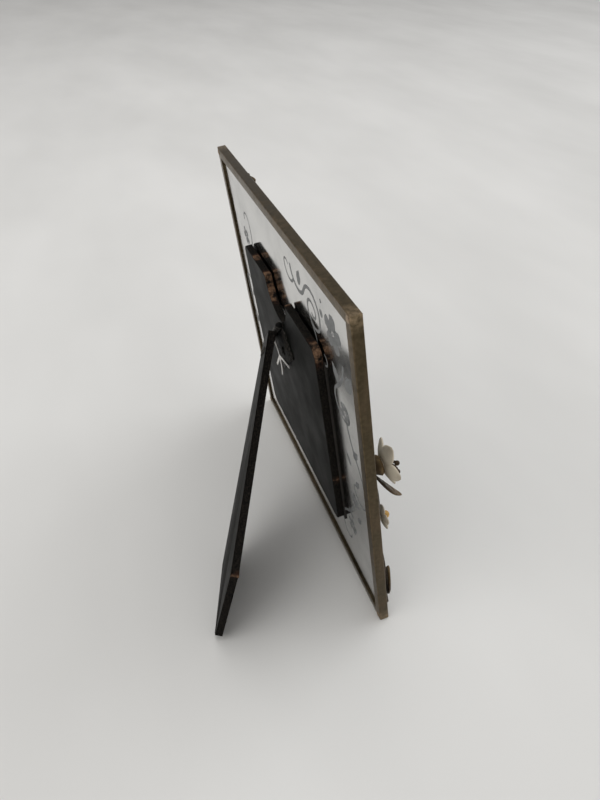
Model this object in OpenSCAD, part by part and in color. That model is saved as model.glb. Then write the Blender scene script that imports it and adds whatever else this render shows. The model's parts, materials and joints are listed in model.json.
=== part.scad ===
// Small tabletop picture frame: a mirror-bordered glass plate in a bronze channel rim,
// a black back board with a thumb notch, a diagonal easel strut on a pin hinge,
// and cast enamel flowers on the front.
// The frame is drawn upright on its own sheet axes (back of the rim at y = 0, bottom edge
// at z = 0, front towards -y) and stand() then leans it back on its strut.

/* [Frame] */
// Width of the frame
frame_w = 160; // [150:1:180]
// Height of the frame along its own plane
frame_h = 151; // [145:1:165]
// Thickness of the rim, front to back
rim_t = 4; // [3.6:0.1:5]
// Depth of the rim's lips over the glass
lip_w = 4; // [3:0.5:5]
// Thickness of each lip
lip_t = 0.9; // [0.6:0.1:1]
// Thickness of the glass plate
glass_t = 2; // [1.6:0.1:2]
// Width of the clear window in the mirror
window_w = 80; // [70:1:84]
// Height of the clear window in the mirror
window_h = 66; // [60:1:68]

/* [Back board] */
// Width of the back board
board_w = 93; // [90:1:98]
// Height of the back board
board_h = 90; // [88:1:94]
// Thickness of the back board
board_t = 3; // [2:0.5:4]
// Height of the board's lower edge above the frame's lower edge
board_z = 28.5; // [26:0.5:32]
// Radius of the thumb notch
notch_r = 13; // [10:0.5:15]
// Thickness of the card strips that keep the picture slot open
slot_t = 0.5; // [0.5:0.1:1]
// Width of the card strips
strip_w = 3; // [2:0.5:4]

/* [Picture] */
// Height of the picture print
print_h = 73; // [66:1:73]
// Thickness of the picture print
print_t = 0.3; // [0.2:0.05:0.3]

/* [Strut] */
// Angle between the closed strut and the frame's upright
strut_lie = 41.5; // [40:0.5:43]
// Opening angle of the strut from the board
strut_open = 27.75; // [24:0.25:28]
// Length of the strut from the hinge pin to its foot
strut_l = 126.5; // [120:0.5:126.5]
// Width of the strut at the hinge
strut_top_w = 19; // [17:1:22]
// Width of the strut where the foot tapers
strut_low_w = 56; // [50:1:58]
// Distance from the hinge pin to the taper of the foot's free side
taper_at = 98; // [94:1:100]
// Width of the foot's blunt tip
foot_w = 4.5; // [3:0.5:6]
// Thickness of the strut board
strut_t = 3; // [2.5:0.5:4]
// Sideways place of the hinge pin's middle
hinge_x = 7; // [5:0.5:10]
// Height of the hinge pin's middle above the frame's lower edge
hinge_z = 95; // [95:0.5:97]

/* [Flowers] */
// Sideways place of the large blossom
bloom_x = -71; // [-71:0.5:-68]
// Height of the large blossom
bloom_z = 81; // [78:1:90]
// Reach of one large petal
petal_l = 9; // [8:0.5:9]
// Sideways place of the upper spray
spray_x = 50; // [40:1:55]

/* [Hidden] */
$fn = 64;
eps = 0.02;

// Depths of the layers, all on the sheet axes.
back_lip_y = -lip_t;
film_t = 0.1;
film_y = back_lip_y - film_t;
glass_y = film_y - glass_t;
board_front_y = back_lip_y + slot_t;
board_back_y = board_front_y + board_t;
window_rise = 3.5;
window_z = board_z + strip_w + window_rise;

// Hinge: sheet metal leaves rolled round a pin.
leaf_t = 0.5;
pin_r = 0.7;
bore_r = 0.75;
knuckle_r = 1.4;
knuckle_half = 3;
knuckle_gap = 0.2;
leaf_half = 15;
leaf_down = 15;
pin_y = board_back_y + knuckle_r;
strut_in = 0.4;
strut_gap = 1.8;
// Length of the stop lip, so that it meets the board with a hair of room.
stop_l = (knuckle_r + (strut_in - leaf_t) * cos(strut_open) - eps) / sin(strut_open);

// Lean of the frame, found from where the foot's inner corner meets the table.
foot_y = pin_y + strut_l * sin(strut_open) + strut_in * cos(strut_open);
foot_z = hinge_z - strut_l * cos(strut_open) * cos(strut_lie) - foot_w / 2 * sin(strut_lie)
    + strut_in * sin(strut_open) * cos(strut_lie);
lean = atan(foot_z / foot_y);
// Where the standing side of the foot starts to taper, so that its cut lies on the table
// with its far end a hair above it.
foot_play = 0.05;
foot_slope = sin(strut_lie) * cos(lean)
    / (sin(strut_open) * sin(lean) + cos(strut_lie) * cos(strut_open) * cos(lean));
standing_taper_at = strut_l - (strut_low_w - foot_w) / 2 * foot_slope - foot_play;
// Distance from the frame's lower back edge to the middle of the footprint.
setback = 30.9;

// Places a sheet-axis shape in the standing frame.
module stand() translate([0, -setback, 0]) rotate([-lean, 0, 0]) children();

// Hinge axes: x along the pin, z up the strut, y out of its back, turned by the opening.
module at_hinge(turn = 0)
    translate([hinge_x, pin_y, hinge_z]) rotate([0, strut_lie, 0]) rotate([turn, 0, 0])
        children();

// Front axes: z out of the front of the rim, y up, x to the viewer's right.
module on_front(x, z, turn = 0, off = 0)
    translate([x, -rim_t - off, z]) rotate([90, 0, 0]) rotate([0, 0, turn]) children();

// A flat plate drawn in x and z, from depth y0 towards the back by t.
module plate(y0, t) translate([0, y0 + t, 0]) rotate([90, 0, 0]) linear_extrude(t) children();

// A box centred on x, from z0 up and from y0 back.
module slab_box(w, t, h, y0, z0) translate([-w / 2, y0, z0]) cube([w, t, h]);

// ---- Rim, glass and mirror -------------------------------------------------------------

// The channel as one mitred ring: web, two lips and the groove between them.
module channel_ring() {
    web = 1;
    groove_t = rim_t - 2 * lip_t;
    difference() {
        slab_box(frame_w, rim_t, frame_h, -rim_t, 0);
        slab_box(frame_w - 2 * lip_w, rim_t + 2, frame_h - 2 * lip_w, -rim_t - 1, lip_w);
        slab_box(frame_w - 2 * web, groove_t, frame_h - 2 * web, -rim_t + lip_t, web);
    }
}

// One bar of the ring, cut at 45 degrees: side 0 bottom, 1 left, 2 top, 3 right.
module rim_bar(side) {
    w = frame_w / 2;
    d = lip_w + 1;
    corners = [[-w, 0], [-w, frame_h], [w, frame_h], [w, 0]];
    inner = [[-w + d, d], [-w + d, frame_h - d], [w - d, frame_h - d], [w - d, d]];
    a = (side + 3) % 4;
    color("#5c5342") stand() intersection() {
        channel_ring();
        plate(-rim_t - 1, rim_t + 2)
            polygon([corners[a], corners[side], inner[side], inner[a]]);
    }
}

// A low solder spot on the back of each mitre.
module corner_solder() {
    spot_r = 1.3;
    spot_h = 0.3;
    inset = 1.9;
    for (sx = [-1, 1], z = [inset, frame_h - inset])
        color("#9a8264") stand() translate([sx * (frame_w / 2 - inset), 0, z])
            rotate([-90, 0, 0]) cylinder(r1 = spot_r, r2 = spot_r * 0.5, h = spot_h);
}

module glass_plate() {
    play = 1.3;
    color("#cfe0dc", 0.4) stand()
        slab_box(frame_w - 2 * play, glass_t, frame_h - 2 * play, glass_y, play);
}

// The silvering on the back of the glass, bare in the picture window.
module mirror_film() {
    play = 1.3;
    color("#d8d8da") stand() difference() {
        slab_box(frame_w - 2 * play, film_t, frame_h - 2 * play, film_y, play);
        slab_box(window_w, 1, window_h, film_y - 0.5, window_z);
    }
}

// ---- Picture slot and back board ---------------------------------------------------------

module side_strip(side) color("#3a352c") stand()
    translate([side * (board_w - strip_w) / 2, 0, 0])
        slab_box(strip_w, slot_t, board_h - 6, back_lip_y, board_z);

module strip_bottom() color("#3a352c") stand()
    slab_box(board_w - 2 * strip_w, slot_t, strip_w, back_lip_y, board_z);

// The print stands on the bottom strip, a little clear of the glass and the board.
module picture_print() {
    side_play = 0.5;
    rest_gap = 0.05;
    face_gap = 0.1;
    print_w = board_w - 2 * strip_w - 2 * side_play;
    color("#8fa3a6") stand()
        slab_box(print_w, print_t, print_h, back_lip_y + face_gap, board_z + strip_w + rest_gap);
}

module board_outline() {
    corner_r = 4;
    w = board_w / 2;
    difference() {
        translate([0, board_z]) union() {
            translate([-w, corner_r]) square([2 * w, board_h - 2 * corner_r]);
            translate([corner_r - w, 0]) square([2 * (w - corner_r), board_h]);
            for (x = [corner_r - w, w - corner_r], z = [corner_r, board_h - corner_r])
                translate([x, z]) circle(corner_r);
        }
        translate([0, board_z + board_h]) circle(notch_r);
    }
}

// Holes through the board and its hinge leaf for two tubular rivets and one split rivet.
rivet_r = 1;
leaf_rivet_x = [-10, 0];
leaf_rivet_z = -9;
star_at = [12, -9.5];
module rivet_hole(x, z) translate([x, 0, z]) rotate([90, 0, 0])
    cylinder(r = rivet_r, h = 20, center = true);

module rivet_holes() {
    for (x = leaf_rivet_x) rivet_hole(x, leaf_rivet_z);
    rivet_hole(star_at[0], star_at[1]);
}

module back_board() color("#1d1e1f") stand() difference() {
    plate(board_front_y, board_t) board_outline();
    at_hinge() rivet_holes();
}

// ---- Hinge -------------------------------------------------------------------------------

// A tube of the knuckle's size round the pin, from x0 to x1.
module knuckle(x0, x1) translate([x0, 0, 0]) rotate([0, 90, 0])
    cylinder(r = knuckle_r, h = x1 - x0);

module pin_bore() rotate([0, 90, 0]) cylinder(r = bore_r, h = 4 * leaf_half, center = true);

// Leaf riveted flat on the board under the strut, with a knuckle each side of the strut's.
module hinge_board_leaf() {
    cut = knuckle_half + knuckle_gap;
    color("#26231f") stand() at_hinge() difference() {
        union() {
            translate([-leaf_half, -knuckle_r, -leaf_down])
                cube([2 * leaf_half, leaf_t, leaf_down]);
            knuckle(-leaf_half, -cut);
            knuckle(cut, leaf_half);
        }
        pin_bore();
        translate([-cut, -2 * knuckle_r, -knuckle_r - 0.1])
            cube([2 * cut, 4 * knuckle_r, 2 * knuckle_r]);
        rivet_holes();
    }
}

// Pin with a peened head outside each outer knuckle.
module hinge_pin() {
    head_r = 1.1;
    head_t = 0.6;
    color("#8a8578") stand() at_hinge() rotate([0, 90, 0]) {
        cylinder(r = pin_r, h = 2 * leaf_half + 0.2, center = true);
        for (s = [-1, 1]) translate([0, 0, s * (leaf_half + head_t / 2)])
            cylinder(r = head_r, h = head_t, center = true);
    }
}

// Tubular rivets that hold the board leaf, with low heads that clear the closed strut.
module leaf_rivets() {
    head_r = 2;
    head_t = 0.5;
    shank = board_t + leaf_t;
    for (x = leaf_rivet_x) color("#33302b") stand() at_hinge()
        translate([x, board_front_y - pin_y, leaf_rivet_z]) rotate([-90, 0, 0]) {
            cylinder(r = rivet_r, h = shank);
            translate([0, 0, shank]) cylinder(r1 = head_r, r2 = head_r * 0.6, h = head_t);
        }
}

// Split rivet whose four bright legs are bent out flat over the leaf: length and angle.
star_legs = [[18, 204], [10, -51], [11, -9], [7.6, 100]];
module star_rivet() {
    leg_t = 0.35;
    leg_w = 1.7;
    tip_w = 0.8;
    leaf_top = -knuckle_r + leaf_t;
    color("#b8b6ae") stand() at_hinge() translate([star_at[0], 0, star_at[1]]) {
        translate([0, board_front_y - pin_y, 0]) rotate([-90, 0, 0])
            cylinder(r = rivet_r, h = board_t + leaf_t + leg_t);
        plate(leaf_top, leg_t) for (leg = star_legs) rotate(leg[1])
            polygon([[0, -leg_w / 2], [leg[0], -tip_w / 2], [leg[0], tip_w / 2],
                [0, leg_w / 2]]);
    }
}

// Leaf on the strut's inner face; its lip past the pin is the stop for the open strut.
module hinge_strut_leaf() {
    half = 7;
    low = 14;
    color("#26231f") stand() at_hinge(strut_open) difference() {
        union() {
            knuckle(-knuckle_half, knuckle_half);
            translate([-knuckle_half, strut_in - leaf_t, -low])
                cube([2 * knuckle_half, leaf_t, low + stop_l]);
            translate([-half, strut_in - leaf_t, -low])
                cube([2 * half, leaf_t, low - strut_gap]);
        }
        pin_bore();
        strut_holes();
    }
}

strut_rivet_x = 4.5;
strut_rivet_z = -9.5;
strut_rivet_r = 0.9;
module strut_holes() for (s = [-1, 1]) translate([s * strut_rivet_x, 0, strut_rivet_z])
    rotate([90, 0, 0]) cylinder(r = strut_rivet_r, h = 20, center = true);

module strut_rivets() {
    head_r = 1.8;
    head_t = 0.5;
    shank = leaf_t + strut_t;
    for (s = [-1, 1]) color("#33302b") stand() at_hinge(strut_open)
        translate([s * strut_rivet_x, strut_in - leaf_t, strut_rivet_z]) rotate([-90, 0, 0]) {
            cylinder(r = strut_rivet_r, h = shank);
            translate([0, 0, shank]) cylinder(r1 = head_r, r2 = head_r * 0.6, h = head_t);
        }
}

// Kite-shaped strut: narrow at the hinge, with a pointed foot that stands either way up.
module easel_strut() {
    top = strut_top_w / 2;
    low = strut_low_w / 2;
    tip = foot_w / 2;
    color("#1d1e1f") stand() at_hinge(strut_open) difference() {
        plate(strut_in, strut_t) polygon([[-top, -strut_gap], [top, -strut_gap],
            [low, -standing_taper_at], [tip, -strut_l], [-tip, -strut_l], [-low, -taper_at]]);
        strut_holes();
    }
}

// ---- Flowers on the front ----------------------------------------------------------------

// A round rod bent to an arc of radius r, from the origin, starting upwards.
// side 1 bends to the viewer's left, -1 to the right.
module bent_rod(r, angle, rod_r, side) translate([-side * r, 0, 0])
    rotate([0, 0, side > 0 ? 0 : 180 - angle]) rotate_extrude(angle = angle)
        translate([r, 0]) circle(rod_r, $fn = 24);

// End point and heading of such an arc, from a start point and heading.
function arc_end(p, h, r, angle, side) = [
    p[0] + side * r * (cos(h + side * angle) - cos(h)),
    p[1] + side * r * (sin(h + side * angle) - sin(h))];

// Runs of the main vine, up to the large blossom: radius, angle, side.
vine_r = 0.9;
vine_at = [bloom_x - 5, 6];
vine_heading = -8;
vine_runs = [[60, 16, 1], [30, 30, -1], [30, 44, 1], [20, 40, -1], [60, 3.6, 1]];

// A chain of arcs with a ball at each end.
module vine(start, heading, runs, rod_r, i = 0) {
    if (i < len(runs)) {
        run = runs[i];
        translate([start[0], start[1], rod_r]) rotate([0, 0, heading])
            bent_rod(run[0], run[1], rod_r, run[2]);
        vine(arc_end(start, heading, run[0], run[1], run[2]), heading + run[2] * run[1], runs,
            rod_r, i + 1);
    }
    translate([start[0], start[1], rod_r]) sphere(rod_r + 0.1, $fn = 24);
}

module vine_stem() color("#4a4030") stand() on_front(0, 0)
    vine(vine_at, vine_heading, vine_runs, vine_r);

// A leaf or petal: beads along a lens outline of length l and width w, wrapped in one skin.
// full moves the widest place towards the tip, and lift raises the tip off the base.
module blade(l, w, t, lift, full = 1) {
    steps = 6;
    hull() for (k = [0:steps], s = [-1, 1]) {
        along = k / steps;
        translate([s * (w - t) / 2 * sin(180 * pow(along, full)), t / 2 + (l - t) * along,
            t / 2 + lift * along * along])
            sphere(t / 2, $fn = 10);
    }
}

// Cup of the large blossom, soldered down on the glass beside the lip.
calyx_h = 5;
glass_drop = -rim_t - glass_y;
module bloom_calyx() color("#4a4030") stand() on_front(bloom_x, bloom_z)
    rotate_extrude() polygon([[0, glass_drop], [2.2, glass_drop], [2.6, 1.5],
        [3.9, calyx_h - 0.6], [3.4, calyx_h], [0, calyx_h]]);

// A ring of petals round a centre, each curling up from the base.
module petal_ring(count, l, w, t, lift, turn) for (i = [0:count - 1])
    rotate([0, 0, turn + i * 360 / count]) blade(l, w, t, lift, 1.4);

heart_h = 1.65;
module bloom_petals() color("#e4dcc6") stand() on_front(bloom_x, bloom_z, 0, calyx_h)
    union() {
        petal_ring(5, petal_l, 7.6, 0.9, 3.4, 18);
        cylinder(r = 2.4, h = heart_h);
    }

// Three curled stamens with ball ends.
module bloom_stamens() color("#4a4030") stand()
    on_front(bloom_x, bloom_z, 0, calyx_h + heart_h) {
        curl_r = 2.6;
        wire_r = 0.5;
        bow = 70;
        cylinder(r = 1.9, h = 0.8);
        for (i = [0:2]) rotate([0, 0, 150 + i * 55]) translate([1, 0, wire_r]) {
            rotate([90, 0, 0]) translate([curl_r, 0, 0]) rotate([0, 0, bow])
                rotate_extrude(angle = 180 - bow) translate([curl_r, 0])
                    circle(wire_r, $fn = 20);
            translate([curl_r + curl_r * cos(bow), 0, curl_r * sin(bow)])
                sphere(0.95, $fn = 32);
        }
    }

// Pointed leaf whose foot is soldered on the vine under the blossom.
module bloom_leaf() color("#3d3629") stand()
    on_front(bloom_x - 0.5, bloom_z - 4, 168, 2 * vine_r)
        rotate([30, 0, 0]) blade(15, 8, 1, 1.5);

small_bloom = [-73.5, 57];
module small_bloom_petals() color("#e4dcc6") stand()
    on_front(small_bloom[0], small_bloom[1], 0, 2 * vine_r) union() {
        petal_ring(5, 5.4, 4.6, 0.8, 1.4, 0);
        cylinder(r = 1.6, h = 1.4);
    }

module small_bloom_bead() color("#b39a52") stand()
    on_front(small_bloom[0], small_bloom[1], 0, 2 * vine_r + 1.4) translate([0, 0, 1.2])
        difference() {
            sphere(1.5, $fn = 40);
            translate([0, 0, -3.2]) cube([6, 6, 4], center = true);
        }

module foot_leaf() color("#4a4030") stand() on_front(-75, 9, -3, 2 * vine_r)
    blade(17, 7, 1.2, 1.4);

// Upper spray, cast finer than the vine, in the opposite corner.
spray_r = 0.7;
spray_runs = [[22, 76, 1], [24, 40, -1]];
spray_bloom = [spray_x + 11.5, 139.8];
module spray_stem() color("#4a4030") stand() on_front(0, 0)
    vine([spray_x + 27, 120], 4, spray_runs, spray_r);

module spray_leaves() color("#4a4030") stand() {
    on_front(spray_x + 25, 127, 14, 2 * spray_r) blade(11, 5, 1, 0.8);
    on_front(spray_x + 4, 141.8, 68, 2 * spray_r) blade(13, 4.6, 1, 0.8);
}

module spray_petals() color("#e4dcc6") stand()
    on_front(spray_bloom[0], spray_bloom[1], 0, 2 * spray_r) union() {
        petal_ring(5, 4.6, 4, 0.8, 1.2, 36);
        cylinder(r = 1.4, h = 1.2);
    }

module spray_bead() color("#b39a52") stand()
    on_front(spray_bloom[0], spray_bloom[1], 0, 2 * spray_r + 1.2) translate([0, 0, 0.9])
        difference() {
            sphere(1.2, $fn = 40);
            translate([0, 0, -2.9]) cube([6, 6, 4], center = true);
        }

rim_bar(2);  // rim_top
rim_bar(0);  // rim_bottom
rim_bar(1);  // rim_left
rim_bar(3);  // rim_right
corner_solder();
glass_plate();
mirror_film();
side_strip(-1);  // strip_left
side_strip(1);  // strip_right
strip_bottom();
picture_print();
back_board();
hinge_board_leaf();
hinge_pin();
leaf_rivets();
star_rivet();
hinge_strut_leaf();
strut_rivets();
easel_strut();
vine_stem();
bloom_calyx();
bloom_petals();
bloom_stamens();
bloom_leaf();
small_bloom_petals();
small_bloom_bead();
foot_leaf();
spray_stem();
spray_leaves();
spray_petals();
spray_bead();
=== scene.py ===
# %% [markdown]
# # A tabletop photo frame with a mirror border
#
# This lesson dresses a small picture frame: a glass plate with a mirror border in a thin
# bronze channel, a black back board with an easel leg, and cast flowers on the front.
# The sizes, the places and the moving joints come from a finished engineering model,
# which is loaded first. Everything here is about how the real thing looks.

# %% Load the engineering model
import json
import math
import random

import bmesh
import bpy
from mathutils import Matrix, Vector, geometry


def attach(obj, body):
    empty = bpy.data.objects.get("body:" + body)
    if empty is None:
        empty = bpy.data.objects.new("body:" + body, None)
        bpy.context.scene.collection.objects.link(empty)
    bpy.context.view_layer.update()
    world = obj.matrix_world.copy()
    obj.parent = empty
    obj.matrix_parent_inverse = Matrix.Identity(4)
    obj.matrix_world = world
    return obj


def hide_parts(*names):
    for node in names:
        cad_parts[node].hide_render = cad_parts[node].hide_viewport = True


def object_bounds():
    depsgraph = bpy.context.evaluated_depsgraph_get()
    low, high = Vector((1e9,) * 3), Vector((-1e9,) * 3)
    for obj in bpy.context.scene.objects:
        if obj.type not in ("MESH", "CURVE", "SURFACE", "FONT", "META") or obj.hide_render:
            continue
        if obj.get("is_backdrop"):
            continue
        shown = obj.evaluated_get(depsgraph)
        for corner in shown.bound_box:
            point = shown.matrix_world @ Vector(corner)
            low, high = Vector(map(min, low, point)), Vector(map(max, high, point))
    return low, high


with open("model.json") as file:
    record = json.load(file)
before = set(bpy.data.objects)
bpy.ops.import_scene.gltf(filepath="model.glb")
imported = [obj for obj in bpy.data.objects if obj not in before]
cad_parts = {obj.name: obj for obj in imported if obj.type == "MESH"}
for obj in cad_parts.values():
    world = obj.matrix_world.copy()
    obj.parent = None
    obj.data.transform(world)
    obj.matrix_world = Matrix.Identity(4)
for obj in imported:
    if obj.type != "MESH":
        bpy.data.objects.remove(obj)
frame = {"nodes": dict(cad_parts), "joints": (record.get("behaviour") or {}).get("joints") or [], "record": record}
cad_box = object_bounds()
MM = 0.001
TINY = 0.001 * MM

# %% [markdown]
# ## Axes that suit the object
#
# The frame leans back on its leg, so nothing on it is square to the world. A maker would
# lay it flat on a bench. We do the same with a matrix: pieces are modelled on "sheet" axes
# (x along the width, y out of the back, z up the frame) or on the hinge's axes (x along
# the pin, y out of the strut, z up the strut), and are then placed by that matrix.
# Both come from the joints and mounts of the model, so they can't drift from it.

# %% Sheet axes and hinge axes
mounts = {m["name"]: m for m in frame["record"]["mounts"]}
joints = {j["name"]: j for j in frame["joints"]}
RIM_DEPTH = 4 * MM
ACROSS = Vector((1, 0, 0))


def axes(x, y, origin):
    """A placing matrix with these x and y directions."""
    z = x.cross(y)
    turned = Matrix((x, y, z)).transposed().to_4x4()
    return Matrix.Translation(origin) @ turned


up = Vector(joints["print_slide"]["axis"])
back = up.cross(ACROSS)
SHEET = axes(ACROSS, back, Vector(mounts["rim_base"]["pos_m"]) + back * RIM_DEPTH / 2)
pin_place = Vector(joints["strut_hinge"]["pos_m"])
open_angle = math.radians(-joints["strut_hinge"]["range_deg"][0])
SHUT = axes(Vector(joints["strut_hinge"]["axis"]), back, pin_place)
OPEN = SHUT @ Matrix.Rotation(open_angle, 4, "X")
print("the strut stands open by", round(math.degrees(open_angle), 2), "degrees")


def measure(node, place):
    """Lowest and highest corner of a CAD node on one of the matrices' axes."""
    to_local = place.inverted()
    points = [to_local @ v.co for v in frame["nodes"][node].data.vertices]
    low = Vector([min(p[i] for p in points) for i in range(3)])
    high = Vector([max(p[i] for p in points) for i in range(3)])
    return low, high


upper_corner = measure("rim_top", SHEET)[1]
HALF_WIDTH = upper_corner.x
HEIGHT = upper_corner.z
print("the frame is", round(2 * HALF_WIDTH / MM, 1), "mm wide and", round(HEIGHT / MM, 1), "mm high")

# %% [markdown]
# ## The camera and the room
#
# The viewer stands beside the left bar of the rim, a little behind the frame, and looks
# down on it, so that the leg, the board and the mirror's back all show. The camera's place
# is given on the sheet axes. The floor is a wide, plain, pale cloth. Three soft square
# lights stand for the windows of a bright room: one behind the frame, one in front of it
# and one above. Pale air all round adds the rest, so that the shadows stay light.

# %% Camera
CAMERA_PLACE = Vector((-223.0, 49.1, 249.9)) * MM
CAMERA_AIM = Vector((0, -0.1, 60.4)) * MM
CAMERA_ROLL = math.radians(0.92)
LENS = 29.66

bpy.ops.object.camera_add()
camera = bpy.context.object
camera.name = "view_camera"
camera.data.lens = LENS
camera.data.clip_start = 0.01
eye = SHEET @ CAMERA_PLACE
look = (SHEET @ CAMERA_AIM - eye).to_track_quat("-Z", "Y").to_matrix().to_4x4()
camera.matrix_world = Matrix.Translation(eye) @ look @ Matrix.Rotation(CAMERA_ROLL, 4, "Z")
bpy.context.scene.camera = camera
print("camera at", [round(c, 3) for c in eye])

# %% [markdown]
# Blender's operators act on whatever is selected. These helpers make sure that only the
# piece in hand is, and never one of the engineering model's own nodes.

# %% Helpers for working by hand
def deselect():
    """Nothing selected and no piece in hand, so the next operator can't touch the CAD nodes."""
    if bpy.context.object and bpy.context.object.mode != "OBJECT":
        bpy.ops.object.mode_set(mode="OBJECT")
    bpy.ops.object.select_all(action="DESELECT")


def take(piece):
    """Makes piece the only selected and active object."""
    deselect()
    piece.select_set(True)
    bpy.context.view_layer.objects.active = piece
    return piece

# %% Floor, light and air
FLOOR_SIZE = 9

deselect()
bpy.ops.mesh.primitive_plane_add(size=FLOOR_SIZE, location=(0, 0, 0))
floor = bpy.context.object
floor.name = "studio_floor"
floor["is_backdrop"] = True


def soft_window(name, place, aim, size, watts, colour):
    """A square area light at place, turned to face aim."""
    bpy.ops.object.light_add(type="AREA", location=place)
    light = bpy.context.object
    light.name = name
    light.data.size = size
    light.data.energy = watts
    light.data.color = colour
    light.rotation_euler = (Vector(aim) - Vector(place)).to_track_quat("-Z", "Y").to_euler()
    return light


soft_window("window_behind", (-0.35, 1.0, 1.25), (0, 0, 0.05), 1.1, 6.5, (1.0, 0.99, 0.97))
soft_window("window_front", (0.5, -2.1, 1.7), (0.2, -0.4, 0), 1.8, 15, (0.97, 0.985, 1.0))
soft_window("window_above", (0.3, -0.1, 1.7), (0, 0, 0), 1.4, 8.5, (1.0, 0.99, 0.985))

world = bpy.data.worlds.new("pale_room")
world.use_nodes = True
world.node_tree.nodes["Background"].inputs["Color"].default_value = (0.80, 0.785, 0.775, 1)
world.node_tree.nodes["Background"].inputs["Strength"].default_value = 0.55
bpy.context.scene.world = world
bpy.context.scene.view_settings.view_transform = "Standard"

# %% [markdown]
# ## Finishes
#
# Every finish is a small tree of nodes ending in one Principled shader. Noise at two or
# three sizes breaks up the colour and the gloss, and a bump makes the grain. Patterns use
# Object coordinates in metres, so a scale of 1000 gives grains about a millimetre wide.
# Where wear follows a worn edge, the mesh carries a number called "worn" on each point,
# and the finish reads it.

# %% A small kit for node trees
def new_finish(name, colour, roughness, metallic=0.0):
    """A material with one Principled shader; returns the material and its shader."""
    material = bpy.data.materials.new(name)
    material.use_nodes = True
    shader = material.node_tree.nodes["Principled BSDF"]
    shader.inputs["Base Color"].default_value = (*colour, 1)
    shader.inputs["Roughness"].default_value = roughness
    shader.inputs["Metallic"].default_value = metallic
    material.diffuse_color = (*colour, 1)
    print("finish", name)
    return material, shader


def add(shader, kind, inputs=None, **settings):
    """A new node beside the shader. An input is a plain value or a socket to link from."""
    tree = shader.id_data
    node = tree.nodes.new(kind)
    for name, value in settings.items():
        setattr(node, name, value)
    for name, value in (inputs or {}).items():
        if isinstance(value, bpy.types.NodeSocket):
            tree.links.new(value, node.inputs[name])
        else:
            node.inputs[name].default_value = value
    return node


def grain(shader, scale, detail=4.0, stretch=(1, 1, 1), rough=0.55):
    """Noise in Object coordinates, stretched along an axis where the finish has a grain."""
    place = add(shader, "ShaderNodeTexCoord").outputs["Object"]
    place = add(shader, "ShaderNodeMapping", {"Vector": place, "Scale": stretch}).outputs[0]
    noise = add(
        shader,
        "ShaderNodeTexNoise",
        {"Vector": place, "Scale": scale, "Detail": detail, "Roughness": rough},
    )
    return noise.outputs["Fac"]


def ramp(shader, value, *stops):
    """A colour ramp with (position, colour) stops."""
    node = add(shader, "ShaderNodeValToRGB", {"Fac": value})
    while len(node.color_ramp.elements) < len(stops):
        node.color_ramp.elements.new(1.0)
    for element, (position, colour) in zip(node.color_ramp.elements, stops):
        element.position = position
        element.color = (*colour, 1)
    return node.outputs["Color"]


def span(shader, value, low, high, start=0.3, end=0.7):
    """Maps value from start..end to low..high."""
    node = add(
        shader,
        "ShaderNodeMapRange",
        {"Value": value, "From Min": start, "From Max": end, "To Min": low, "To Max": high},
    )
    return node.outputs["Result"]


def blend_colours(shader, share, first, second):
    """first where share is 0 and second where it is 1."""
    node = add(shader, "ShaderNodeMix", data_type="RGBA")
    tree = shader.id_data
    for socket, value in ((node.inputs[0], share), (node.inputs[6], first), (node.inputs[7], second)):
        if isinstance(value, bpy.types.NodeSocket):
            tree.links.new(value, socket)
        elif isinstance(value, tuple):
            socket.default_value = (*value, 1)
        else:
            socket.default_value = value
    return node.outputs[2]


def maths(shader, operation, first, second=0.0):
    """One sum on two values."""
    node = add(shader, "ShaderNodeMath", {0: first, 1: second}, operation=operation)
    return node.outputs[0]


def use(shader, name, value):
    """Links a value to one of the shader's own inputs."""
    shader.id_data.links.new(value, shader.inputs[name])


def bump(shader, height, depth_mm, strength=1.0):
    """Surface relief of about depth_mm millimetres."""
    node = add(
        shader,
        "ShaderNodeBump",
        {"Height": height, "Distance": depth_mm * MM, "Strength": strength},
    )
    use(shader, "Normal", node.outputs["Normal"])


def worn_share(shader):
    """The number that the mesh carries on its worn points."""
    return add(shader, "ShaderNodeAttribute", attribute_name="worn").outputs["Fac"]


def mottle(shader, noise, dark, light, start=0.3, end=0.7):
    """Colours the finish from dark to light by a noise."""
    use(shader, "Base Color", ramp(shader, noise, (start, dark), (end, light)))


def product(shader, first, second):
    """first times second."""
    return maths(shader, "MULTIPLY", first, second)

# %% [markdown]
# The cloth under the frame is nearly plain. Two slow tones, wider than long, keep it from
# looking like a flat card, and a fine bump is its weave.

# %% Floor cloth
cloth_white, shader = new_finish("cloth_white", (0.76, 0.74, 0.735), 0.9)
folds = grain(shader, 3.2, 3.0, (1, 2.2, 1))
mottle(shader, folds, (0.69, 0.69, 0.675), (0.77, 0.77, 0.755))
bump(shader, grain(shader, 900, 2.0), 0.05, 0.4)
floor.data.materials.append(cloth_white)

# %% [markdown]
# The rim is brass channel plated dark bronze. On the real strip the plating is a little
# streaky along its length and rubbed to a warmer brown on the faces that hands touch.
# Fine lengthwise scratches come from the rollers.

# %% Bronze plating
bronze_plate, shader = new_finish("bronze_plate", (0.13, 0.105, 0.066), 0.42, 1.0)
clouds = grain(shader, 55, 5.0)
streaks = grain(shader, 420, 3.0, (1, 1, 0.06))
tone = maths(shader, "ADD", product(shader, clouds, 0.65), product(shader, streaks, 0.35))
plated = ramp(
    shader, tone, (0.32, (0.027, 0.022, 0.011)), (0.52, (0.054, 0.042, 0.023)), (0.72, (0.105, 0.075, 0.046))
)
rubbed = product(shader, worn_share(shader), span(shader, grain(shader, 700, 4.0), 0.2, 1.0))
use(shader, "Base Color", blend_colours(shader, rubbed, plated, (0.36, 0.27, 0.17)))
use(shader, "Roughness", span(shader, clouds, 0.30, 0.52))
bump(shader, maths(shader, "ADD", streaks, grain(shader, 1600, 2.0)), 0.015, 0.6)

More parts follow.
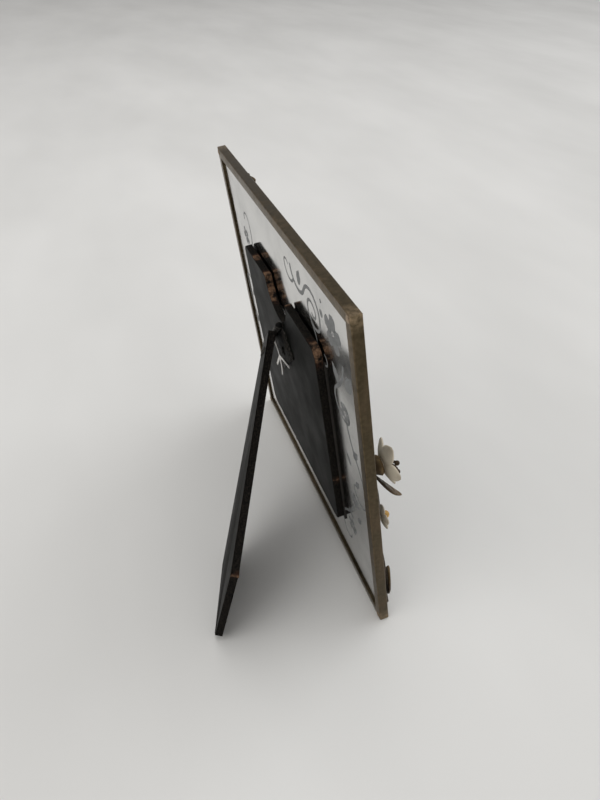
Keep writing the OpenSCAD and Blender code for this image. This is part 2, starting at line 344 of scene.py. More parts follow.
# %% Solder
solder_dull, shader = new_finish("solder_dull", (0.34, 0.26, 0.18), 0.5, 0.85)
blotch = grain(shader, 900, 4.0)
mottle(shader, blotch, (0.20, 0.145, 0.095), (0.43, 0.33, 0.235), 0.35, 0.62)
use(shader, "Roughness", span(shader, blotch, 0.38, 0.62))
bump(shader, grain(shader, 1800, 3.0), 0.05)

# %% [markdown]
# The plate is ordinary clear glass. It lets light through to the picture behind it, so it
# is a thin see-through skin with a sharp shine and a faint green. The silvering on its
# back is nearly a perfect mirror, with a few smudges that dull it.

# %% Glass and silvering
clear_glass, shader = new_finish("clear_glass", (0.93, 0.97, 0.955), 0.02)
shader.inputs["Transmission Weight"].default_value = 1.0
shader.inputs["IOR"].default_value = 1.5
use(shader, "Roughness", span(shader, grain(shader, 90, 3.0), 0.01, 0.035))

mirror_silver, shader = new_finish("mirror_silver", (0.86, 0.845, 0.85), 0.08, 1.0)
smudge = grain(shader, 45, 5.0, (1, 1, 1), 0.6)
mottle(shader, smudge, (0.46, 0.46, 0.45), (0.62, 0.615, 0.60), 0.35, 0.6)
use(shader, "Roughness", span(shader, smudge, 0.20, 0.07))
bump(shader, grain(shader, 25, 2.0), 0.01, 0.3)

etched_grey, shader = new_finish("etched_grey", (0.30, 0.31, 0.31), 0.62)
frost = grain(shader, 2500, 2.0)
mottle(shader, frost, (0.11, 0.115, 0.115), (0.24, 0.245, 0.245), 0.35, 0.65)
bump(shader, frost, 0.01)

# %% [markdown]
# The back board and the leg are hardboard with a black paper face. The face has a faint
# leathery grain and a soft shine. The cut edges are bare fibre stained black, rough and
# dull, and where they are knocked the brown wood fibre shows.

# %% Black hardboard
def hardboard(name, face_low, face_high, face_rough):
    """Black faced board whose worn points show rough stained fibre and brown knocks."""
    material, shader = new_finish(name, face_high, face_rough)
    cells = add(
        shader,
        "ShaderNodeTexVoronoi",
        {"Vector": add(shader, "ShaderNodeTexCoord").outputs["Object"], "Scale": 1300},
        feature="SMOOTH_F1",
    ).outputs["Distance"]
    cloud = grain(shader, 70, 5.0)
    face = ramp(shader, cloud, (0.3, face_low), (0.7, face_high))
    fibre_noise = grain(shader, 1500, 6.0, (1, 1, 1), 0.7)
    fibre = ramp(shader, fibre_noise, (0.42, (0.004, 0.004, 0.004)), (0.75, (0.03, 0.025, 0.02)))
    worn = worn_share(shader)
    deep = ramp(shader, fibre_noise, (0.3, (0.012, 0.006, 0.004)), (0.7, (0.07, 0.034, 0.022)))
    bright = ramp(shader, fibre_noise, (0.3, (0.05, 0.026, 0.016)), (0.7, (0.26, 0.16, 0.10)))
    knocked = blend_colours(shader, span(shader, worn, 0.0, 1.0, 0.86, 0.97), deep, bright)
    shader.inputs["Specular IOR Level"].default_value = 0.03
    edge = span(shader, worn, 0.0, 1.0, 0.05, 0.45)
    torn = span(shader, grain(shader, 320, 5.0), 0, 1, 0.4, 0.55)
    knock = product(shader, span(shader, worn, 0.0, 1.0, 0.55, 0.95), torn)
    whole = blend_colours(shader, edge, face, fibre)
    use(shader, "Base Color", blend_colours(shader, knock, whole, knocked))
    shine = span(shader, cloud, face_rough - 0.06, face_rough + 0.08)
    use(shader, "Roughness", maths(shader, "ADD", product(shader, edge, 0.3), shine))
    hairs = product(shader, product(shader, fibre_noise, edge), 6.0)
    bump(shader, maths(shader, "ADD", product(shader, cells, 0.35), hairs), 0.035)
    return material


board_black = hardboard("board_black", (0.0022, 0.0024, 0.0021), (0.0052, 0.0055, 0.0048), 0.46)

# %% [markdown]
# The strips beside the print are dark grey-brown card, coloured near black as painted shade
# of the narrow slot beside the board. The print's back is plain white paper. Both are dull,
# with fibres finer than the eye picks out one by one.

# %% Card and paper
card_grey, shader = new_finish("card_grey", (0.05, 0.042, 0.033), 0.85)
# Painted shade: the mottle runs near black, darker than the card's own grey-brown, to stand in for the shade in
# the slot beside the board.
mottle(shader, grain(shader, 1200, 5.0), (0.006, 0.005, 0.004), (0.028, 0.023, 0.018))
bump(shader, grain(shader, 2200, 3.0), 0.03)

print_paper, shader = new_finish("print_paper", (0.86, 0.86, 0.84), 0.7)
mottle(shader, grain(shader, 2600, 4.0), (0.80, 0.80, 0.78), (0.88, 0.88, 0.86))
bump(shader, grain(shader, 3500, 2.0), 0.01)

# %% [markdown]
# ## Rim
#
# The real rim is four lengths of U-shaped channel, mitred at the corners and soldered.
# Each bar starts as a box of its own size, laid on the sheet axes. Two slanted bisects cut
# the mitres, a bevel rounds the bends, and the middle strip of the inner face is pushed in
# to make the groove that holds the glass. A few crosswise cuts let it wave by hundredths
# of a millimetre, because rolled strip is never dead straight.

# %% More hand tools
def edit(piece):
    """Opens a piece for editing with nothing selected."""
    take(piece)
    bpy.ops.object.mode_set(mode="EDIT")
    bpy.ops.mesh.select_all(action="DESELECT")


def done():
    """Back to object mode."""
    bpy.ops.object.mode_set(mode="OBJECT")


def pick(kind, test):
    """In edit mode, selects the verts, edges or faces whose middle passes the test."""
    bpy.ops.mesh.select_all(action="DESELECT")
    bpy.ops.mesh.select_mode(type={"verts": "VERT", "edges": "EDGE", "faces": "FACE"}[kind])
    mesh = bmesh.from_edit_mesh(bpy.context.object.data)
    for item in getattr(mesh, kind):
        corners = [item] if kind == "verts" else item.verts
        middle = sum((v.co for v in corners), Vector()) / len(corners)
        if test(middle, item):
            item.select_set(True)
    bmesh.update_edit_mesh(bpy.context.object.data)


def modify(piece, kind, **settings):
    """Adds one modifier, sets it and applies it."""
    take(piece)
    modifier = piece.modifiers.new(kind.lower(), kind)
    for name, value in settings.items():
        setattr(modifier, name, value)
    bpy.ops.object.modifier_apply(modifier=modifier.name)
    return piece


def box_at(name, low, high):
    """A cube primitive at the size and place of a box, on the axes being worked in."""
    deselect()
    bpy.ops.mesh.primitive_cube_add(size=1, location=(low + high) / 2, scale=high - low)
    piece = bpy.context.object
    piece.name = name
    bpy.ops.object.transform_apply(location=True, rotation=True, scale=True)
    return piece


def sheet_at(name, low, high, y):
    """A plane primitive standing in x and z from corner to corner, at depth y."""
    deselect()
    middle = (low + high) / 2
    bpy.ops.mesh.primitive_plane_add(size=1, location=(middle.x, y, middle.z), rotation=(math.pi / 2, 0, 0))
    piece = bpy.context.object
    piece.name = name
    piece.scale = (high.x - low.x, high.z - low.z, 1)
    bpy.ops.object.transform_apply(location=True, rotation=True, scale=True)
    return piece


def cut(point, normal, fill=True):
    """Slices the whole mesh in edit mode; with fill, drops the side that normal points to."""
    bpy.ops.mesh.select_all(action="SELECT")
    bpy.ops.mesh.bisect(plane_co=point, plane_no=normal, use_fill=fill, clear_outer=fill)


def face_outwards(merge=False):
    """In edit mode, closes seams if asked and turns every face outwards."""
    bpy.ops.mesh.select_all(action="SELECT")
    if merge:
        bpy.ops.mesh.remove_doubles(threshold=TINY)
    bpy.ops.mesh.normals_make_consistent(inside=False)
    done()


def joined(parts, name):
    """Joins pieces into the first one under a new name."""
    deselect()
    for part in parts:
        part.select_set(True)
    bpy.context.view_layer.objects.active = parts[0]
    if len(parts) > 1:
        bpy.ops.object.join()
    parts[0].name = name
    return parts[0]


def mark_worn(piece, share):
    """Stores how worn each point is, from 0 to 1, for the finish to read."""
    worn = piece.data.attributes.new("worn", "FLOAT", "POINT")
    for vertex, value in zip(piece.data.vertices, worn.data):
        value.value = share(vertex.co)


def fit_out(piece, material, place, body, slot, *nodes, angle=35):
    """Smooth shading, finish, placing and the names that tie a piece to the model."""
    take(piece)
    piece.data.materials.clear()
    piece.data.materials.append(material)
    piece.matrix_world = place @ piece.matrix_world
    bpy.ops.object.transform_apply(location=True, rotation=True, scale=True)
    bpy.ops.object.shade_smooth_by_angle(angle=math.radians(angle))
    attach(piece, body)
    if nodes:
        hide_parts(*nodes)
    print(piece.name, "has", len(piece.data.polygons), "faces")
    return piece

# %% Four channel bars
LIP_THICK = 0.9 * MM
BEND = 0.45 * MM
WAVE = 0.05 * MM
WEB = 1 * MM
SLICES = 12
RUBBED_CORNER = 3.5 * MM

ripple = bpy.data.textures.new("rolled_ripple", "CLOUDS")
ripple.noise_scale = 0.018

BARS = {
    "rim_bottom": Vector((0, 0, 1)),
    "rim_top": Vector((0, 0, -1)),
    "rim_left": Vector((1, 0, 0)),
    "rim_right": Vector((-1, 0, 0)),
}


def corner_wear(point):
    """Plating rubs off near the four outer corners and thins along the outer bends."""
    to_corner = math.hypot(HALF_WIDTH - abs(point.x), min(point.z, HEIGHT - point.z))
    at_corner = max(0.0, 1 - to_corner / RUBBED_CORNER)
    at_bend = 0.35 if min(-point.y, point.y + RIM_DEPTH) < BEND * 0.8 else 0.12
    return max(at_corner, at_bend)


for name, inward in BARS.items():
    low, high = measure(name, SHEET)
    bar = box_at(name + "_channel", low, high)
    along = Vector((inward.z, 0, inward.x)).normalized()
    along = Vector((abs(along.x), 0, abs(along.z)))
    width = (high - low).dot(Vector(map(abs, inward)))
    outer = (low + high) / 2 - inward * width / 2
    half = (high - low).dot(along) / 2
    edit(bar)
    pick("edges", lambda m, e: abs((m - outer).dot(inward)) < TINY and abs((m - outer).dot(along)) < TINY)
    bpy.ops.mesh.bevel(offset=BEND, segments=3, affect="EDGES")
    for end in (-1, 1):
        cut(outer + along * end * half, (along * end + inward).normalized())
    for y in (-RIM_DEPTH + LIP_THICK, -LIP_THICK):
        cut(Vector((0, y, 0)), (0, 1, 0), fill=False)
    pick(
        "faces",
        lambda m, f: abs((m - outer).dot(inward) - width) < TINY
        and LIP_THICK < -m.y < RIM_DEPTH - LIP_THICK,
    )
    bpy.ops.mesh.extrude_region_move(TRANSFORM_OT_translate={"value": -inward * (width - WEB)})
    for step in range(1 - SLICES, SLICES):
        cut(outer + along * step * half / SLICES, along, fill=False)
    done()
    modify(bar, "DISPLACE", texture=ripple, texture_coords="GLOBAL", strength=WAVE, mid_level=1.0)
    mark_worn(bar, corner_wear)
    fit_out(bar, bronze_plate, SHEET, "frame", "rim_bronze", name)

# %% [markdown]
# Solder fills each mitre: a low spot on the back where the iron touched, and a thin bead
# that ran down the outer corner. One spot and one bead are shaped from a ball, squashed
# and roughened, and copied to the other corners.

# %% Solder at the mitres
SPOT_R = 1.3 * MM
SPOT_INSET = 1.9 * MM
BEAD_R = 0.42 * MM
BEAD_HALF = 1.72 * MM
BEAD_INSET = 0.62 * MM

deselect()
bpy.ops.mesh.primitive_uv_sphere_add(segments=20, ring_count=12, radius=SPOT_R)
spot = bpy.context.object
edit(spot)
bpy.ops.mesh.select_all(action="SELECT")
bpy.ops.transform.resize(value=(1, 0.23, 1))
bpy.ops.transform.vertex_random(offset=0.06 * MM, uniform=1, seed=4)
done()
deselect()
bpy.ops.mesh.primitive_uv_sphere_add(segments=12, ring_count=14, radius=BEAD_R, rotation=(math.pi / 2, 0, 0))
bead = bpy.context.object
bpy.ops.object.transform_apply(rotation=True)
edit(bead)
bpy.ops.mesh.select_all(action="SELECT")
bpy.ops.transform.resize(value=(1, BEAD_HALF / BEAD_R, 1))
bpy.ops.transform.vertex_random(offset=0.04 * MM, uniform=1, seed=9)
done()

blobs = []
for corner, (side, level) in enumerate([(-1, 0), (1, 0), (-1, 1), (1, 1)]):
    for shape, inset, depth in ((spot, SPOT_INSET, 0.0), (bead, BEAD_INSET, -RIM_DEPTH / 2)):
        take(shape)
        bpy.ops.object.duplicate()
        blob = bpy.context.object
        blob.location = (side * (HALF_WIDTH - inset), depth, inset if level == 0 else HEIGHT - inset)
        blob.rotation_euler = (0, corner * math.radians(70), 0)
        bpy.ops.object.transform_apply(location=True, rotation=True)
        blobs.append(blob)
solder = joined(blobs, "mitre_solder")
bpy.data.objects.remove(spot)
bpy.data.objects.remove(bead)
fit_out(solder, solder_dull, SHEET, "frame", "solder", "corner_solder", angle=60)

# %% [markdown]
# ## Mirror and its etched border
#
# The plate's back is silvered except for a clear window where the picture shows. In the
# border the maker etched a pattern of scrolls, sprigs and small flowers, which reads as
# dull grey on the bright metal. The silvering is a flat sheet: a plane cut along the
# window's four edges, with the middle thrown away and a little thickness added. It sits a
# hair inside the glass, so the two surfaces never fight for the same place.

# %% Silvering
FILM_T = 0.12 * MM
film_low, film_high = measure("mirror_film", SHEET)
film_mesh = frame["nodes"]["mirror_film"].data
to_sheet = SHEET.inverted()
inner = [to_sheet @ v.co for v in film_mesh.vertices]
inner = [p for p in inner if film_high.x - abs(p.x) > 1 * MM]
window_x = max(p.x for p in inner)
window_z = (min(p.z for p in inner), max(p.z for p in inner))

film_y = (film_low.y + film_high.y) / 2
film = sheet_at("mirror_silvering", film_low, film_high, film_y)
edit(film)
for x in (-window_x, window_x):
    cut(Vector((x, 0, 0)), (1, 0, 0), fill=False)
for z in window_z:
    cut(Vector((0, 0, z)), (0, 0, 1), fill=False)
pick("faces", lambda m, f: abs(m.x) < window_x and window_z[0] < m.z < window_z[1])
bpy.ops.mesh.delete(type="FACE")
done()
modify(film, "SOLIDIFY", thickness=FILM_T, offset=0.0)
fit_out(film, mirror_silver, SHEET, "frame", "mirror_film", "mirror_film")
print("window", round(2 * window_x / MM, 1), "mm wide")

# %% [markdown]
# The etched strokes are thin ribbons laid on the silvering. A stroke starts as one short
# edge, and each spin of that edge about a centre sweeps a ribbon along an arc. Shrinking
# the edge between spins tapers the stroke towards a point, as a brush would. The pattern
# is drawn once for one side and the other end of the border gets its own half-turned copy.

# %% Strokes, drops and dots
ETCH_T = 0.16 * MM
STROKE_STEPS = 9


def arcs(start, heading, runs):
    """Follows runs of (radius in mm, angle, side); side 1 turns left, -1 right.

    Gives each arc's centre in metres, its angle in radians and the point where it ends.
    """
    x, up = start
    for radius, angle, side in runs:
        reach = side * radius * MM
        turn = math.radians(heading)
        centre = (x - reach * math.cos(turn), up - reach * math.sin(turn))
        heading += side * angle
        turn = math.radians(heading)
        x = centre[0] + reach * math.cos(turn)
        up = centre[1] + reach * math.sin(turn)
        yield centre, side * math.radians(angle), (x, up)


def stroke(start, heading, runs, width, taper=1.0):
    """A ribbon along arcs, narrower by taper after each of them."""
    deselect()
    bpy.ops.mesh.primitive_plane_add(size=1)
    piece = bpy.context.object
    edit(piece)
    pick("verts", lambda m, v: m.y > 0)
    bpy.ops.mesh.delete(type="VERT")
    done()
    x, z = start[0] * MM, start[1] * MM
    turn = math.radians(heading)
    for vertex, side in zip(piece.data.vertices, (-0.5, 0.5)):
        reach = side * width * MM
        vertex.co = (x + reach * math.cos(turn), film_y, z + reach * math.sin(turn))
    edit(piece)
    bpy.ops.mesh.select_all(action="SELECT")
    for (middle_x, middle_z), angle, (x, z) in arcs((x, z), heading, runs):
        middle = (middle_x, film_y, middle_z)
        bpy.ops.mesh.spin(steps=STROKE_STEPS, angle=angle, center=middle, axis=(0, 1, 0))
        bpy.ops.transform.resize(value=(taper, taper, taper), center_override=(x, film_y, z))
    done()
    return piece


def drop(place, length, width, turn, point=0.45):
    """A filled leaf or petal: a disc stretched, with one end drawn out to a tip."""
    deselect()
    bpy.ops.mesh.primitive_circle_add(vertices=20, radius=0.5, fill_type="NGON")
    piece = bpy.context.object
    edit(piece)
    pick("verts", lambda m, v: m.y > 0.42)
    bpy.ops.transform.resize(value=(0.2, 1, 1), center_override=(0, 0.5, 0))
    pick("verts", lambda m, v: 0.2 < m.y < 0.42)
    bpy.ops.transform.resize(value=(1 - point, 1, 1), center_override=(0, 0.3, 0))
    done()
    piece.matrix_world = (
        Matrix.Translation((place[0] * MM, film_y, place[1] * MM))
        @ Matrix.Rotation(math.radians(-turn), 4, "Y")
        @ Matrix.Rotation(math.pi / 2, 4, "X")
        @ Matrix.Diagonal((width * MM, length * MM, 1, 1))
        @ Matrix.Translation((0, 0.5, 0))
    )
    bpy.ops.object.transform_apply(location=True, rotation=True, scale=True)
    return piece


def flower(place, petals, reach, width, turn):
    """Petals round a dot."""
    parts = [drop(place, 0.9, 0.9, 0, 0.0)]
    for i in range(petals):
        angle = turn + i * 360 / petals
        away = Vector((-math.sin(math.radians(angle)), math.cos(math.radians(angle)))) * 0.9
        parts.append(drop((place[0] + away.x, place[1] + 0.45 + away.y), reach, width, angle, -0.2))
    return parts

# %% One end of the border
SCROLL = [(7.5, 150, -1), (8, 190, 1), (6, 150, 1), (4.2, 150, 1), (2.4, 170, 1)]


def border_end():
    """Scroll, sprigs and flowers along the top and down one side."""
    parts = [
        stroke((-18, 138), 180, SCROLL, 1.7, 0.9),
        stroke((-19.5, 132), 215, [(5, 150, 1), (2.6, 150, 1)], 1.2, 0.75),
        stroke((-36, 124), 120, [(9, 60, 1), (5, 120, -1), (2.4, 150, -1)], 1.2, 0.8),
        stroke((-66, 124), 190, [(22, 45, 1), (7, 170, -1), (4, 160, -1)], 1.5, 0.85),
        stroke((-63, 97), 165, [(40, 22, -1), (26, 40, 1), (6, 150, 1), (3, 140, 1)], 1.4, 0.85),
        stroke((-60, 52), 200, [(30, 34, 1), (14, 70, -1), (4, 170, -1)], 1.4, 0.8),
        drop((-26, 133.5), 7.5, 4.0, 24),
        drop((-49.5, 133), 3.2, 2.8, 0, 0),
        drop((-50.5, 139), 1.6, 1.5, 0, 0),
        drop((-67, 115), 10, 5.2, 35),
        drop((-60.5, 112), 9, 4.6, -38),
        drop((-66.5, 84), 7, 3, 40),
        drop((-62.5, 76), 6.5, 2.8, -42),
        drop((-65.5, 68), 6, 2.6, 38),
        drop((-63, 45), 6, 2.8, 40),
        drop((-57, 40), 5.5, 2.6, -50),
    ]
    for place, count, reach, width, turn in (
        ((-59.5, 132), 5, 6.6, 5.2, 8),
        ((-62.5, 101), 5, 3.6, 2.9, 30),
        ((-62, 56), 6, 3.1, 2.4, 0),
        ((-55, 33), 5, 3.6, 2.9, 12),
    ):
        parts += flower(place, count, reach, width, turn)
    return joined(parts, "etched_border_left")


etched = border_end()
modify(etched, "SOLIDIFY", thickness=ETCH_T, offset=0.0)
take(etched)
bpy.ops.object.duplicate()
other_end = bpy.context.object
other_end.name = "etched_border_right"
half_turn = Matrix.Rotation(math.pi, 4, "Y")
plate_middle = Matrix.Translation((0, 0, HEIGHT / 2))
other_end.matrix_world = plate_middle @ half_turn @ plate_middle.inverted()
bpy.ops.object.transform_apply(location=True, rotation=True)
for piece in (etched, other_end):
    edit(piece)
    face_outwards()
    fit_out(piece, etched_grey, SHEET, "frame", "mirror_film")

# %% [markdown]
# The glass plate and the card strips are plain flat pieces that the engineering model
# already has right, so they stay as they are and only get their finish.

# %% Glass and card strips keep their CAD shape
def dress(node, material):
    """Gives a CAD node a finish by its material slots; its mesh stays as it is."""
    mesh = frame["nodes"][node].data
    mesh.materials.clear()
    mesh.materials.append(material)
    print(node, "is dressed in", material.name)


dress("glass_plate", clear_glass)
for strip in ("strip_left", "strip_right", "strip_bottom"):
    dress(strip, card_grey)

# %% [markdown]
# ## The picture
#
# The print drops into the slot between the mirror and the board. It is a thin sheet with
# rounded corners, white on its back. The view on its front is made up: a sky, a low sun
# and three rows of hills, all worked out from height and a line of noise.

# %% A generic view for the print
print_view, shader = new_finish("print_view", (0.5, 0.6, 0.65), 0.28)
place = add(shader, "ShaderNodeTexCoord").outputs["Object"]
parts = add(shader, "ShaderNodeSeparateXYZ", {"Vector": place})
height = span(shader, parts.outputs["Z"], 0.0, 1.0, 0.030, 0.104)
SKY = (0.35, (0.88, 0.70, 0.50)), (0.62, (0.62, 0.74, 0.80)), (1.0, (0.25, 0.44, 0.66))
SUN_PLACE = (0.016, -0.0215, 0.083)
SUN_EDGE = (0.0048, 0.0054)
colour = ramp(shader, height, *SKY)
sun_gap = add(shader, "ShaderNodeVectorMath", {0: place, 1: SUN_PLACE}, operation="DISTANCE")
sun = span(shader, sun_gap.outputs["Value"], 1.0, 0.0, *SUN_EDGE)
colour = blend_colours(shader, sun, colour, (0.97, 0.90, 0.66))
HILLS = (
    (0.66, 22, 0.24, (0.33, 0.45, 0.54)),
    (0.52, 34, 0.26, (0.20, 0.34, 0.33)),
    (0.36, 50, 0.24, (0.11, 0.21, 0.12)),
)
for level, lumps, swing, tint in HILLS:
    line = add(shader, "ShaderNodeCombineXYZ", {"X": parts.outputs["X"], "Y": level})
    ridge = add(shader, "ShaderNodeTexNoise", {"Vector": line.outputs[0], "Scale": lumps, "Detail": 5.0})
    top = maths(shader, "ADD", product(shader, ridge.outputs["Fac"], swing), level - swing)
    under = span(shader, maths(shader, "SUBTRACT", top, height), 0.0, 1.0, -0.002, 0.002)
    woods = span(shader, grain(shader, 240, 4.0), 0, 0.5)
    shade = blend_colours(shader, woods, tint, tuple(c * 0.7 for c in tint))
    colour = blend_colours(shader, under, colour, shade)
use(shader, "Base Color", colour)

# %% Picture print
def round_corners(panel, low, high, radius, segments):
    """Rounds the four upright corners of a flat panel."""
    edit(panel)
    pick("edges", lambda m, e: high.x - abs(m.x) < TINY and min(m.z - low.z, high.z - m.z) < TINY)
    bpy.ops.mesh.bevel(offset=radius, segments=segments, affect="EDGES")
    done()


print_low, print_high = measure("picture_print", SHEET)
picture = box_at("landscape_print", print_low, print_high)
round_corners(picture, print_low, print_high, 1.2 * MM, 4)
fit_out(picture, print_paper, SHEET, "print", "picture_paper", "picture_print")
picture.data.materials.append(print_view)
for face in picture.data.polygons:
    face.material_index = 1 if face.normal.dot(-back) > 0.9 else 0

# %% [markdown]
# ## Back board
#
# The board is 3 mm hardboard with round corners and a thumb notch for lifting the picture
# out. It starts as a box; a bevel rounds the corners and a round cutter takes the notch
# out. The outline is then divided finely, its sharp edges are broken by a small bevel, and
# a noise moves the edge in and out by a tenth of a millimetre, as sawn fibre does. Each
# point is told how far inside the outline it lies, so that the finish can show bare edge,
# and brown fibre where the corner and the notch have been knocked.

# %% Rough edges and wear
BREAK = 0.28 * MM
FIBRE = 0.34 * MM
RING = 0.7 * MM

sawn = bpy.data.textures.new("sawn_fibre", "CLOUDS")
sawn.noise_scale = 0.0016
sawn.noise_depth = 3


def rough_edge(panel, low, high, depth):
    """Divides a flat panel's outline, breaks its edges and roughens them in its own plane."""
    edit(panel)
    pick(
        "edges",
        lambda m, e: min(abs(m.y - low.y), abs(m.y - high.y)) < TINY and e.calc_length() > 2.5 * MM,
    )
    bpy.ops.mesh.subdivide(number_cuts=30)
    pick("edges", lambda m, e: min(abs(m.y - low.y), abs(m.y - high.y)) < TINY and len(e.link_faces) == 2)
    bpy.ops.mesh.bevel(offset=BREAK, segments=2, affect="EDGES")
    pick("faces", lambda m, f: abs(f.normal.y) > 0.999 and len(f.verts) > 30)
    bpy.ops.mesh.inset(thickness=RING, use_individual=True)
    done()
    band = panel.vertex_groups.new(name="edge_band")
    band.add([v.index for v in panel.data.vertices if depth(v.co) < BREAK * 1.2], 1.0, "ADD")
    for direction in ("X", "Z"):
        modify(
            panel, "DISPLACE", texture=sawn, direction=direction, vertex_group="edge_band",
            texture_coords="LOCAL", strength=FIBRE, mid_level=0.5,
        )
    panel.vertex_groups.clear()


def wear_of(depth, knocks):
    """How worn a point is: half along the cut edge, whole inside a knock's reach."""

    def share(point):
        edge = max(0.0, 1 - depth(point) / (BREAK * 2.4))
        flat = Vector((point.x, point.z))
        hit = max(0.0, max(1 - (flat - Vector(at) * MM).length / (reach * MM) for at, reach in knocks))
        near = max(0.0, 1 - depth(point) / (RING + BREAK))
        return min(1.0, 0.5 * edge + 0.9 * hit * near)

    return share

# %% Board
NOTCH_R = 13 * MM
CORNER_R = 4 * MM
board_low, board_high = measure("back_board", SHEET)


def board_depth(point):
    """Distance from a point on the board to its outline."""
    side = board_high.x - abs(point.x)
    end = min(point.z - board_low.z, board_high.z - point.z)
    notch = math.hypot(point.x, point.z - board_high.z) - NOTCH_R
    if side < CORNER_R and end < CORNER_R:
        return CORNER_R - math.hypot(CORNER_R - side, CORNER_R - end)
    return min(side, end, notch)


board = box_at("hardboard_back", board_low, board_high)
round_corners(board, board_low, board_high, CORNER_R, 8)
deselect()
bpy.ops.mesh.primitive_cylinder_add(
    vertices=96, radius=NOTCH_R, depth=20 * MM, location=(0, 0, board_high.z), rotation=(math.pi / 2, 0, 0)
)
cutter = bpy.context.object
modify(board, "BOOLEAN", object=cutter, operation="DIFFERENCE", solver="EXACT")
bpy.data.objects.remove(cutter)
rough_edge(board, board_low, board_high, board_depth)
BOARD_KNOCKS = [
    ((-45, 117), 8), ((-13, 117.5), 2.5), ((11, 110.5), 6), ((13, 117), 5.5), ((30, 118.5), 4),
    ((-46.5, 84), 1.3), ((-46.5, 71), 1.0), ((-46.5, 54), 1.2), ((-20, 28.5), 2), ((30, 28.5), 2.5),
]
mark_worn(board, wear_of(board_depth, BOARD_KNOCKS))
fit_out(board, board_black, SHEET, "frame", "black_board", "back_board")

# %% [markdown]
# ## Leg
#
# The leg is cut from the same board as the back: narrow at the hinge, wide where the foot
# begins, and cut to a blunt point that stands square on the table whichever way up the
# frame is. It is modelled flat on the hinge's own axes. The outline's corners come from
# the CAD leg, and a box is sliced once along each side between them.

# %% Strut
strut_low, strut_high = measure("easel_strut", OPEN)
to_strut = OPEN.inverted()
flat_points = [to_strut @ v.co for v in frame["nodes"]["easel_strut"].data.vertices]
flat_points = [Vector((p.x, p.z)) for p in flat_points]
ring = [flat_points[i] for i in geometry.convex_hull_2d(flat_points)]
LEAST_SIDE = 1 * MM
sides = []
for start, end in zip(ring, ring[1:] + ring[:1]):
    if (end - start).length > LEAST_SIDE:
        run = (end - start).normalized()
        sides.append((start, Vector((run.y, -run.x))))
print("the strut's outline has", len(sides), "sides")


def strut_depth(point):
    """Distance from a point on the strut to the nearest side of its outline."""
    flat = Vector((point.x, point.z))
    return min((start - flat).dot(out) for start, out in sides)


strut = box_at("easel_leg", strut_low, strut_high)
edit(strut)
for start, out in sides:
    cut(Vector((start.x, 0, start.y)), (out.x, 0, out.y))
done()
rough_edge(strut, strut_low, strut_high, strut_depth)
STRUT_KNOCKS = [((-28, -98), 1.3), ((0, -126), 2), ((28, -103), 1.2), ((-20, -70), 0.9)]
mark_worn(strut, wear_of(strut_depth, STRUT_KNOCKS))
fit_out(strut, board_black, OPEN, "strut", "black_board", "easel_strut")

# %% [markdown]
# ## Hinge
#
# Each hinge leaf is thin steel sheet rolled round the pin. The board's leaf starts as a
# flat rectangle under the strut; its upper edge is spun about the pin to roll the two
# outer knuckles, and a Solidify gives the sheet its half millimetre. The strut's leaf and
# its single knuckle are made the same way between them. The pin is a rod with hammered
# round ends. Black paint covers the leaves, chipped to steel along their edges.

# %% Steel finishes
black_steel, shader = new_finish("black_steel", (0.005, 0.0049, 0.0047), 0.42)
shader.inputs["Specular IOR Level"].default_value = 0.05
chips = product(shader, worn_share(shader), span(shader, grain(shader, 1100, 4.0), 0, 1, 0.42, 0.6))
use(shader, "Base Color", blend_colours(shader, chips, (0.005, 0.0049, 0.0047), (0.10, 0.092, 0.08)))
use(shader, "Metallic", chips)
use(shader, "Roughness", span(shader, grain(shader, 300, 4.0), 0.5, 0.7))
bump(shader, grain(shader, 900, 3.0), 0.03)

bright_steel, shader = new_finish("bright_steel", (0.62, 0.60, 0.56), 0.34, 0.6)
scuff = grain(shader, 1300, 4.0, (1, 1, 0.2))
mottle(shader, scuff, (0.50, 0.48, 0.44), (0.85, 0.83, 0.80), 0.3, 0.6)
use(shader, "Roughness", span(shader, scuff, 0.5, 0.28))
bump(shader, scuff, 0.012)

# %% Rolled leaves
SHEET_T = 0.5 * MM
KNUCKLE_R = 1.4 * MM
ROLL_R = KNUCKLE_R - SHEET_T / 2
ROLL_STEPS = 20
leaf_low, leaf_high = measure("hinge_board_leaf", SHUT)
strut_leaf_low, strut_leaf_high = measure("hinge_strut_leaf", OPEN)
KNUCKLE_HALF = 3 * MM
GAP = 0.2 * MM


def rolled_leaf(name, half, spans, low, flat_y, turn):
    """A sheet hanging below the pin, with a knuckle rolled over each span (x from, x to)."""

    def inside(x):
        return any(start < x < end for start, end in spans)

    top = -math.sqrt(max(0.0, ROLL_R**2 - flat_y**2))
    leaf = sheet_at(name, Vector((-half, 0, low)), Vector((half, 0, top)), flat_y)
    edit(leaf)
    for x in [edge for run in spans for edge in run]:
        if abs(x) < half - TINY:
            cut(Vector((x, 0, 0)), (1, 0, 0), fill=False)
    cut(Vector((0, 0, -KNUCKLE_R - GAP)), (0, 0, 1), fill=False)
    pick("faces", lambda m, f: m.z > -KNUCKLE_R - GAP and not inside(m.x))
    bpy.ops.mesh.delete(type="FACE")
    pick("edges", lambda m, e: abs(m.z - top) < TINY and inside(m.x))
    bpy.ops.mesh.spin(steps=ROLL_STEPS, angle=math.radians(turn), center=(0, 0, 0), axis=(1, 0, 0))
    done()
    modify(leaf, "SOLIDIFY", thickness=SHEET_T, offset=0.0)
    modify(leaf, "BEVEL", width=0.08 * MM, segments=2, limit_method="ANGLE", angle_limit=math.radians(50))
    edit(leaf)
    face_outwards()
    return leaf


WORN_RIM = 0.3 * MM
leaf_half = leaf_high.x
outer_spans = [(-leaf_half, -KNUCKLE_HALF - GAP), (KNUCKLE_HALF + GAP, leaf_half)]
board_leaf = rolled_leaf("hinge_leaf_board", leaf_half, outer_spans, leaf_low.z, -ROLL_R, 335)


